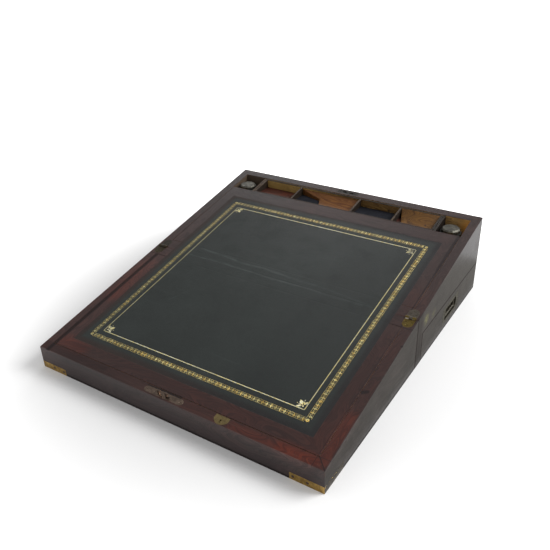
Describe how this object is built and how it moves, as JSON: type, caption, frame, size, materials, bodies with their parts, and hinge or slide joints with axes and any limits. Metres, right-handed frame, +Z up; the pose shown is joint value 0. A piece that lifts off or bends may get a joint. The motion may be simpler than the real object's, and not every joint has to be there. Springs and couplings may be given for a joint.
{
  "type": "folding writing slope",
  "caption": "Portable writing box opened into a leather-faced slope, with hinged lid and flaps, side drawer, pen tray, glass inkwells, locks and flush handles.",
  "frame": {"origin": "on the table under the middle of the hinge line, with the box opened flat", "axes": "+X to the writer's right, +Y away from the writer towards the pen well, +Z up"},
  "size_m": [0.45, 0.51, 0.1258],
  "materials": {
    "case_wood": "French-polished dark mahogany",
    "inner_wood": "plain waxed mahogany",
    "writing_leather": "gold-tooled green-black skiver",
    "brassware": "worn and toned",
    "cap_metal": "dulled plating",
    "bolt_steel": "plain",
    "bottle_glass": "clear pressed glass",
    "lining": "dark lining"
  },
  "bodies": {
    "base": {"base_back_wall": "case_wood", "base_left_wall": "case_wood", "base_right_wall": "case_wood", "base_hinge_wall": "case_wood", "base_bottom": "case_wood", "drawer_shelf": "inner_wood", "base_side_ledges": "inner_wood", "base_hinge_leather": "writing_leather", "base_hinge_leaves": "brassware", "base_hinge_screws": "brassware", "well_bulkhead": "inner_wood", "well_floor": "inner_wood", "well_dividers": "inner_wood", "tray_rests": "inner_wood", "lock_case": "brassware", "lock_selvedge": "brassware", "lock_escutcheon": "brassware", "left_handle_plate": "brassware", "left_handle_screws": "brassware"},
    "lid": {"lid_front_wall": "case_wood", "lid_left_wall": "case_wood", "lid_right_wall": "case_wood", "lid_hinge_wall": "case_wood", "lid_board": "case_wood", "lid_front_ledge": "inner_wood", "lid_side_ledges": "inner_wood", "lid_hinge_leather": "writing_leather", "lid_hinge_leaves": "brassware", "lid_hinge_pins": "brassware", "lid_hinge_screws": "brassware", "lid_corner_straps": "brassware", "lid_plate_screws": "brassware", "link_plate": "brassware", "flap_lock": "brassware"},
    "lower_flap": {"front_flap": "case_wood", "front_leather": "writing_leather"},
    "upper_flap": {"rear_flap": "case_wood", "rear_leather": "writing_leather"},
    "side_drawer": {"drawer_front": "case_wood", "drawer_sides": "inner_wood", "drawer_end": "inner_wood", "drawer_bottom": "inner_wood", "drawer_handle_plate": "brassware", "drawer_handle_screws": "brassware"},
    "drawer_bail": {"drawer_handle_bail": "brassware"},
    "left_bail": {"left_handle_bail": "brassware"},
    "main_bolt": {"lock_bolt": "bolt_steel"},
    "flap_bolt": {"flap_lock_bolt": "bolt_steel"},
    "pen_tray": {"tray_floor": "inner_wood", "tray_long_walls": "inner_wood", "tray_partitions": "inner_wood", "pen_rest": "inner_wood", "pen_scoop": "inner_wood", "tray_linings": "lining"},
    "left_inkwell": {"left_inkwell_glass": "bottle_glass", "left_inkwell_collar": "cap_metal"},
    "right_inkwell": {"right_inkwell_glass": "bottle_glass", "right_inkwell_collar": "cap_metal"},
    "left_cap": {"left_inkwell_cap": "cap_metal"},
    "right_cap": {"right_inkwell_cap": "cap_metal"}
  },
  "joints": [
    {"name": "lid_fold", "type": "hinge", "parent": "base", "child": "lid", "pos_m": [0, 0, 0.08], "axis": [-1, 0, 0], "range_deg": [0, 180]},
    {"name": "upper_flap_lift", "type": "hinge", "parent": "base", "child": "upper_flap", "pos_m": [0, 0.02025, 0.0835], "axis": [-1, 0, 0], "range_deg": [-90, 0]},
    {"name": "lower_flap_lift", "type": "hinge", "parent": "lid", "child": "lower_flap", "pos_m": [0, -0.02025, 0.0762], "axis": [1, 0, 0], "range_deg": [-90, 0]},
    {"name": "drawer_slide", "type": "slide", "parent": "base", "child": "side_drawer", "axis": [1, 0, 0], "range_m": [0, 0.36]},
    {"name": "drawer_bail_swing", "type": "hinge", "parent": "side_drawer", "child": "drawer_bail", "pos_m": [0.2224, 0.1375, 0.0296], "axis": [0, -1, 0], "range_deg": [0, 90]},
    {"name": "left_bail_swing", "type": "hinge", "parent": "base", "child": "left_bail", "pos_m": [-0.2224, 0.1375, 0.0296], "axis": [0, 1, 0], "range_deg": [0, 90]},
    {"name": "main_bolt_slide", "type": "slide", "parent": "base", "child": "main_bolt", "axis": [-1, 0, 0], "range_m": [0, 0.003]},
    {"name": "flap_bolt_slide", "type": "slide", "parent": "lid", "child": "flap_bolt", "axis": [0, 0.9841, 0.1775], "range_m": [0, 0.0045]},
    {"name": "pen_tray_lift", "type": "slide", "parent": "base", "child": "pen_tray", "axis": [0, 0, -1], "range_m": [-0.05, 0]},
    {"name": "left_inkwell_lift", "type": "slide", "parent": "base", "child": "left_inkwell", "axis": [0, 0, -1], "range_m": [-0.06, 0]},
    {"name": "right_inkwell_lift", "type": "slide", "parent": "base", "child": "right_inkwell", "axis": [0, 0, -1], "range_m": [-0.06, 0]},
    {"name": "left_cap_hinge", "type": "hinge", "parent": "left_inkwell", "child": "left_cap", "pos_m": [-0.1935, 0.23395, 0.10965], "axis": [1, 0, 0], "range_deg": [-90, 0]},
    {"name": "right_cap_hinge", "type": "hinge", "parent": "right_inkwell", "child": "right_cap", "pos_m": [0.1885, 0.23395, 0.10965], "axis": [1, 0, 0], "range_deg": [-90, 0]}
  ]
}
